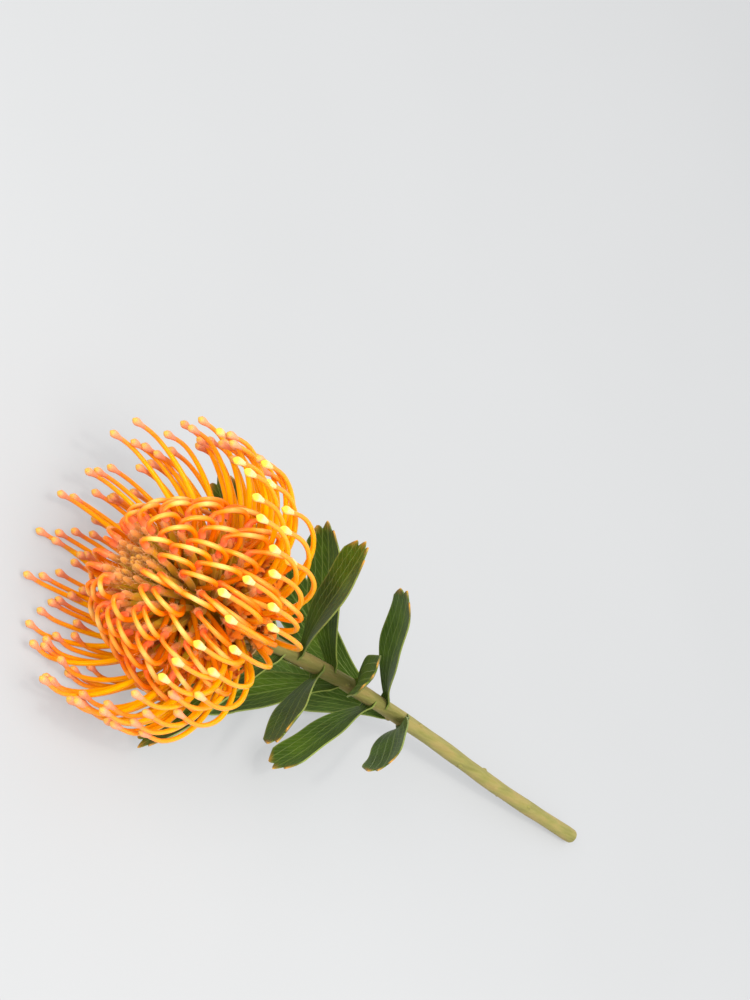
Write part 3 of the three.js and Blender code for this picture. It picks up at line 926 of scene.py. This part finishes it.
# %% Plant the tepals and their limbs
TEPALS_EACH = 3
TEPAL_SEAT = 13.5
TEPAL_SIZE = 1.15
KNOB_LENGTH = 4.4
KNOB_RINGS = [(0, 0.7), (0.25, 1.1), (0.5, 1.25), (0.75, 1.05), (0.92, 0.6), (1, 0)]
knob = extrude_rod("knob_master", 7, KNOB_LENGTH, KNOB_RINGS)
tube = extrude_rod("tube_master", 7, 17, [(0, 1.3), (0.5, 1.7), (0.9, 1.9), (1, 1.2)])

coil_way = Vector((math.cos(TEPAL_TURN), 0, -math.sin(TEPAL_TURN)))
knob_seat = Matrix((coil_way, SIDE, coil_way.cross(SIDE))).transposed()
knob_seat = Matrix.Translation(on_coil(TEPAL_TURN) * MM) @ knob_seat.to_4x4()

tube_places, tepal_places, tepal_shades = [], [], []
for i in open_florets + between:
    _, angle, radius, height, tilt = floret(i)
    lean_tilt = tilt - 6 * DEGREE + spread(i, 22, 7 * DEGREE)
    onward = leaning(lean_tilt, angle + spread(i, 23, 8 * DEGREE))
    root = place(radius, angle, height)
    tube_places.append(standing(root, onward, around(angle)))
    for k in range(TEPALS_EACH):
        item = i * TEPALS_EACH + k
        turn = (100 + 80 * k) * DEGREE + spread(item, 24, 30 * DEGREE)
        across = Matrix.Rotation(turn, 3, onward) @ around(angle)
        reach = TEPAL_SEAT + spread(item, 25, 3.5)
        size = TEPAL_SIZE + spread(item, 26, 0.25)
        tepal_places.append(standing(root + onward * reach, onward, across, size, size))
        tepal_shades.append(chance(item, 27))
opened_tubes = plant("opened_tubes", tube, tube_places, [0.7] * len(tube_places))
rolled_tepals = plant("rolled_tepals", tepal, tepal_places, tepal_shades)
knob_places = [seat @ knob_seat for seat in tepal_places]
knob_shades = [mix(0.4, 1, shade) for shade in tepal_shades]
rolled_limbs = plant("rolled_limbs", knob, knob_places, knob_shades)
put_away(tube, tepal, knob)
print(len(tepal_places), "tepals on", len(tube_places), "tubes")

# %% Paint the tepals
material, tree, shader = new_material("tepal_skin", 0.5, glow=0.2, sheen=0.2)
body = ramp_of(
    tree,
    value_of(tree, "along"),
    [
        (0.0, paint(190, 108, 0)),
        (0.4, paint(224, 112, 2)),
        (0.8, paint(208, 84, 10)),
        (1.0, paint(198, 82, 24)),
    ],
)
body = mottle(tree, body, noise_of(tree, 900), 0.5, paint(246, 150, 16))
dress(tree, shader, body, noise_of(tree, 3000), 0.00015)
tepal_skin = material

settle(opened_tubes, "flower_head", perianth_skin)
settle(rolled_tepals, "flower_head", tepal_skin, 50)
settle(rolled_limbs, "flower_head", limb_wool, 88)

# %% [markdown]
# ## Hairs
# The limbs are woolly and the perianths silky. A particle system would be lost on export, so each
# hair is a slim three-sided spike with its own mesh, planted on the limb at an even spread of
# places. They stand out against the light as a pale edge.

# %% Plant the hairs
HAIR_LENGTH = 1.7
LIMB_HAIRS = 26
KNOB_HAIRS = 12
KNOB_RADIUS = 1.3
spike = extrude_rod("hair_master", 3, HAIR_LENGTH, [(0, 0.07), (0.5, 0.05), (1, 0)])
hair_places, hair_shades = [], []
rng = np.random.default_rng(7)


def grow_hairs(seats, count, length, girth):
    """Hairs round each seat, whose X runs along a limb of this length and girth in mm."""
    for seat in seats:
        turn = seat.to_3x3().normalized()
        for k in range(count):
            share = 0.12 + 0.86 * (k + 0.5) / count
            angle = k * GOLDEN_ANGLE + rng.uniform(-0.3, 0.3)
            out = turn @ Vector((0, math.cos(angle), math.sin(angle)))
            ahead = turn @ Vector((1, 0, 0))
            # The bulge of the limb there, less a little, so that the hair is rooted in it.
            depth = girth * math.sqrt(max(1 - (1.9 * share - 1.0) ** 2, 0.02)) * 0.92
            spot = seat.translation / MM + ahead * length * share + out * depth
            way = (out * (1.1 - share) + ahead * (0.35 + share)).normalized()
            way += Vector(rng.normal(0, 0.28, 3))
            hair_places.append(standing(spot, way, out.cross(ahead), rng.uniform(0.6, 1.15)))
            hair_shades.append(rng.uniform(0, 1))


grow_hairs(limb_places, LIMB_HAIRS, LIMB_LENGTH, LIMB_RADIUS)
grow_hairs(knob_places, KNOB_HAIRS, KNOB_LENGTH, KNOB_RADIUS)
limb_hairs = plant("limb_hairs", spike, hair_places, hair_shades)
put_away(spike)
settle(limb_hairs, "flower_head", hair_paint)

# %% [markdown]
# ## Bracts
# Small downy scales, the bracts, overlap under the head like tiles where it joins the stem. One
# scale is a grid whose vertices are drawn into a pointed, cupped shape. Three rings of them cover
# the joint.

# %% Shape one bract
bpy.ops.mesh.primitive_grid_add(x_subdivisions=6, y_subdivisions=6, size=1)
scale_leaf = bpy.context.active_object
scale_leaf.name = "bract_master"
shares = []
for vertex in scale_leaf.data.vertices:
    share = vertex.co.x + 0.5
    u = vertex.co.y * 2
    half = 3.6 * (1 - share**2.6) * (0.72 + 0.5 * share)
    lift = -0.16 * half * u * u + 1.4 * share**2
    vertex.co = Vector((9.5 * share, max(half, 0.12) * u, lift)) * MM
    shares.append(share)
store_value(scale_leaf, "along", shares)
thicken(scale_leaf, 0.5)

# %% Plant the bracts
# Each ring's radius, height and tilt, and how many bracts it has.
BRACT_RINGS = [(4.0, -7.4, 76, 7), (5.1, -5.3, 82, 8), (6.2, -3.2, 88, 9)]
bract_places, bract_shades = [], []
for ring, (radius, height, tilt, count) in enumerate(BRACT_RINGS):
    for i in range(count):
        item = ring * 9 + i
        angle = (i + ring / 3) / count * 2 * math.pi + spread(item, 15, 4 * DEGREE)
        lean = (tilt - 6 + spread(item, 28, 5)) * DEGREE
        inward = leaning(lean - math.pi / 2, angle)
        bract_places.append(standing(place(radius, angle, height), leaning(lean, angle), inward))
        bract_shades.append(chance(item, 29))
print(len(bract_places), "bracts of", len(scale_leaf.data.polygons), "faces")
plug = extrude_rod(
    "plug_master", 20, 9.6, [(0, 3.7), (0.15, 4.2), (0.5, 6.2), (0.85, 7.6), (1, 7.8)]
)
bract_plug = plant("bract_cushion", plug, [standing(place(0, 0, -9.2), AXIS, SIDE)], [0.5])
downy_bracts = plant("downy_bracts", scale_leaf, bract_places, bract_shades)
put_away(scale_leaf, plug)

# %% Paint the bracts
material, tree, shader = new_material("bract_down", 0.8, glow=0.1, sheen=0.6)
body = ramp_of(
    tree,
    value_of(tree, "along"),
    [
        (0.0, paint(104, 112, 44)),
        (0.5, paint(132, 128, 58)),
        (0.85, paint(158, 104, 58)),
        (1.0, paint(126, 66, 40)),
    ],
)
down = noise_of(tree, 2500)
body = mottle(tree, body, down, 0.45, paint(198, 184, 138))
dress(tree, shader, body, down, 0.0003)
bract_down = material
settle(bract_plug, "involucral_bracts", bract_down)
settle(downy_bracts, "involucral_bracts", bract_down, 40)

# %% [markdown]
# ## Stem
# The stem is woody and nearly straight, thicker at each old leaf scar, with fine ribs and small
# nodules. It is one long rod, bent by a Curve modifier along the line that it lies on. Its cut
# end shows pale wood and a ring of bark.

# %% Bend the stem
STEM_RADIUS = 3.4
STEM_LENGTH = 240
STEM_RINGS = 120
CUT_EDGE = [(0.9985, 3.38), (1.0, 3.25)]
STEM_BENDS = [(0, 0, 0), (0.25, 2.2, 0.6), (0.5, 1.2, -0.4), (0.75, -3, -0.4), (1, -5, 0)]
LEAVES = 13
LEAF_FIRST_HEIGHT = 10
LEAF_SPACING = 7.6
LEAF_FIRST_TURN = 95 * DEGREE

stem_top = place(0, 0, -9.3)
stem_drop = stem_top.z - STEM_RADIUS
stem_run = math.sqrt(STEM_LENGTH**2 - stem_drop**2)
stem_knots = []
for share, sideways, lift in STEM_BENDS:
    height = stem_top.z - stem_drop * share + lift
    stem_knots.append(Vector((stem_top.x + stem_run * share, stem_top.y + sideways, height)))
stem_path = through(stem_knots, 30)


def along_path(path, share):
    """The point at a share of the way along a path."""
    position = min(max(share, 0), 1) * (len(path) - 1)
    below = min(int(position), len(path) - 2)
    return path[below].lerp(path[below + 1], position - below)


stations = [(0, STEM_RADIUS)]
for k in range(1, STEM_RINGS):
    share = k / STEM_RINGS
    girth = 1 + 0.025 * math.sin(share * 47) + spread(k, 30, 0.012)
    stations.append((share, STEM_RADIUS * girth))
stations += CUT_EDGE
stem_rod = extrude_rod("stem_master", 20, 1000, stations)
root_end = stem_path[0] + (stem_path[0] - stem_path[1]).normalized() * 2
woody_stem = join_copies("woody_stem", [bend_along(stem_rod, [root_end, *stem_path], 0.5)])
put_away(stem_rod)
print("stem:", len(woody_stem.data.polygons), "faces")

# %% Paint the bark
material, tree, shader = new_material("stem_bark", 0.62, sheen=0.15)
body = ramp_of(
    tree,
    noise_of(tree, 60, 4, (1, 4, 4)),
    [
        (0.25, paint(86, 92, 34)),
        (0.45, paint(116, 116, 52)),
        (0.6, paint(138, 122, 66)),
        (0.8, paint(112, 84, 48)),
    ],
)
ribs = noise_of(tree, 900, 3, (0.08, 1, 1))
body = mottle(tree, body, ribs, 0.5, paint(168, 158, 104))
dress(tree, shader, body, ribs, 0.0005)
stem_bark = material
settle(woody_stem, "stem", stem_bark, 50)

# %% Paint the cut end
# Only the faces of the end take this. The kept value is 1 in the middle and 0 at the bark.
material, tree, shader = new_material("cut_wood", 0.75)
body = ramp_of(
    tree,
    value_of(tree, "pith"),
    [
        (0.05, paint(120, 108, 56)),
        (0.16, paint(190, 182, 112)),
        (0.6, paint(222, 210, 156)),
        (0.85, paint(204, 186, 124)),
        (0.95, paint(166, 142, 84)),
    ],
)
body = mottle(tree, body, noise_of(tree, 1800), 0.5, paint(186, 168, 104))
dress(tree, shader, body, noise_of(tree, 2500), 0.0002)
woody_stem.data.materials.append(material)
end = stem_path[-1] * MM
end_way = (stem_path[-1] - stem_path[-2]).normalized()
for face in woody_stem.data.polygons:
    if (face.center - end).dot(end_way) > -0.0002 and face.normal.dot(end_way) > 0.9:
        face.material_index = 1
pith = [1.0 if (vertex.co - end).length < 0.001 else 0.0 for vertex in woody_stem.data.vertices]
print(int(sum(pith)), "vertex in the middle of the cut")
store_value(woody_stem, "pith", pith)

# %% Plant nodules on the stem
NODULES = 12
NODULE_SINK = 0.35
NODULE_RINGS = [(0, 0.3), (0.25, 0.9), (0.55, 1.1), (0.8, 0.7), (1, 0)]
nodule = extrude_rod("nodule_master", 7, 4, NODULE_RINGS)
nodule_places = []
for i in range(NODULES):
    share = mix(0.06, 0.94, (i + 0.5) / NODULES)
    angle = i * GOLDEN_ANGLE + 40 * DEGREE
    spot = along_path(stem_path, share) + outward(angle) * (STEM_RADIUS - NODULE_SINK)
    if spot.z > 1.5:
        nodule_places.append(standing(spot + AXIS * 2, -AXIS, outward(angle)))
stem_nodules = plant("stem_nodules", nodule, nodule_places, [0.5] * len(nodule_places))
put_away(nodule)
settle(stem_nodules, "stem", stem_bark)

# %% [markdown]
# ## Leaves
# The leaves are stiff and leathery, cupped along their length, with three or four blunt teeth at
# the tip. Each tooth ends in a small hard callus. A leaf is a fine grid laid on a surface that is
# worked out from its number, as the solid was, so it fits the solid's place. Solidify gives it
# its thickness. How far along and how far across each vertex lies is kept, for the veins.

# %% Lay out a leaf
LEAF_ROWS = 30
LEAF_FLOOR = 0.45
LEAF_THICKNESS = 0.6
LEAF_SINK = 2.4


def leaf_half_width(share, width):
    """Half the blade's width, narrow at the base and rounded at the end."""
    base = mix(0.38, 1, smoothstep(share, 0, 0.5))
    end = math.sqrt(max(1 - max((share - 0.68) / 0.46, 0) ** 2, 0))
    return width / 2 * base * end


def leaf_spine(k):
    """The angle, twist and path of leaf k."""
    age = k / (LEAVES - 1)
    angle = LEAF_FIRST_TURN + k * GOLDEN_ANGLE
    length = mix(60, 74, chance(k, 10))
    start_tilt = mix(60, 28, age**0.5) * DEGREE
    end_tilt = mix(52, 40, age) * DEGREE + spread(k, 13, 9 * DEGREE)
    twist = spread(k, 14, 14 * DEGREE)
    arch = mix(6, 22, age) * DEGREE

    def heading(s):
        tilt = mix(start_tilt, end_tilt, s) + arch * math.sin(s * math.pi)
        return leaning(tilt, angle + twist * s)

    start = along_path(stem_path, (LEAF_FIRST_HEIGHT + k * LEAF_SPACING) / STEM_LENGTH)
    start += outward(angle) * (STEM_RADIUS * 1.05 + 0.7)
    return angle, twist, walk(start, heading, length, lambda s: LEAF_FLOOR)


def leaf_point(k, spine, width, share, u):
    """The middle of the blade at a share of its length and u, from -1 to 1, across."""
    angle, twist, path = spine
    half = leaf_half_width(share, width)
    onward = (along_path(path, share + 0.03) - along_path(path, share - 0.03)).normalized()
    across = around(angle + twist * share * 2)
    across = (across - onward * across.dot(onward)).normalized()
    wave = math.sin(share * 11 + k * 2 + (1.4 if u > 0 else 0)) * 0.9 * u * u * share
    lift = half * 0.3 * abs(u) ** 1.5 + wave
    point = along_path(path, share) + across * (half * u) + onward.cross(across) * lift
    point.z = max(point.z, LEAF_FLOOR)
    return point


# %% Make the leaf blades
def make_leaf(k):
    """One leaf, as a grid laid on its surface, with its thickness."""
    spine = leaf_spine(k)
    width = mix(17, 21, chance(k, 11))
    teeth = 3 + math.floor(chance(k, 12) * 1.99)
    columns = teeth * 6
    bpy.ops.mesh.primitive_grid_add(x_subdivisions=columns, y_subdivisions=LEAF_ROWS, size=2)
    blade = bpy.context.active_object
    blade.name = f"leaf_blade_{k + 1:02d}"
    along, across, calluses = [], [], []
    for vertex in blade.data.vertices:
        u = vertex.co.x
        row = (vertex.co.y + 1) / 2
        # 0 at the tip of a tooth and 1 between two teeth
        valley = abs((u + 1) / 2 * teeth % 1 - 0.5) * 2
        share = row * (1 - 0.1 * u * u - 0.055 * valley**1.4)
        point = leaf_point(k, spine, width, share, u)
        if row < 0.01:
            point -= outward(spine[0]) * LEAF_SINK
        vertex.co = point * MM
        along.append(share)
        across.append(u)
        calluses.append((1 - valley) ** 2 * smoothstep(row, 0.94, 1))
    store_value(blade, "along", along)
    store_value(blade, "across", across)
    store_value(blade, "callus", calluses)
    thicken(blade, LEAF_THICKNESS)
    return blade


# %% Paint the leaves
# Veins run from the base and fan out to the teeth, paler than the blade. The margin is pale too.
material, tree, shader = new_material("leaf_leather", 0.46, glow=0.06, gleam=LEAF_GLEAM)
along = value_of(tree, "along")
across = value_of(tree, "across")
wander = sum_of(tree, sum_of(tree, noise_of(tree, 120), "SUBTRACT", 0.5), "MULTIPLY", 0.12)
u = sum_of(tree, across, "ADD", wander)
distance = sum_of(tree, u, "ABSOLUTE", 0)


def line_at(value, centre, width):
    """1 on a line where the value meets the centre, falling to 0 beside it."""
    off = sum_of(tree, sum_of(tree, value, "SUBTRACT", centre), "ABSOLUTE", 0)
    nearness = sum_of(tree, 1, "SUBTRACT", sum_of(tree, off, "DIVIDE", width))
    return sum_of(tree, nearness, "MAXIMUM", 0)


midrib = line_at(distance, 0, 0.055)
main_veins = sum_of(tree, line_at(distance, 0.34, 0.03), "MAXIMUM", line_at(distance, 0.66, 0.025))
lean = sum_of(tree, distance, "MULTIPLY", 4)
slant = sum_of(tree, sum_of(tree, along, "MULTIPLY", 15), "SUBTRACT", lean)
slant = sum_of(tree, sum_of(tree, slant, "FRACT", 0), "SUBTRACT", 0.5)
side_veins = sum_of(tree, line_at(slant, 0, 0.1), "MULTIPLY", 0.45)
veins = sum_of(tree, sum_of(tree, midrib, "MAXIMUM", main_veins), "MAXIMUM", side_veins)
body = ramp_of(
    tree,
    noise_of(tree, 55, 4),
    [
        (0.3, paint(40, 60, 8)),
        (0.5, paint(56, 82, 12)),
        (0.7, paint(80, 108, 20)),
    ],
)
body = mottle(tree, body, noise_of(tree, 600), 0.25, paint(104, 132, 40))
body = mottle(tree, body, veins, 0.55, paint(150, 172, 84))
margin = sum_of(tree, sum_of(tree, across, "ABSOLUTE", 0), "SUBTRACT", 0.93)
margin = sum_of(tree, margin, "MULTIPLY", 9)
margin = sum_of(tree, sum_of(tree, margin, "MAXIMUM", 0), "MINIMUM", 1)
body = mottle(tree, body, margin, 0.7, paint(168, 176, 92))
body = blend(tree, value_of(tree, "callus"), body, paint(196, 140, 60))
dress(tree, shader, body, sum_of(tree, veins, "SUBTRACT", noise_of(tree, 900, 2)), 0.00018)
leaf_leather = material

# %% Lay the leaves
for k in range(LEAVES):
    blade = make_leaf(k)
    settle(blade, f"leaf_{k + 1:02d}", leaf_leather, 40)
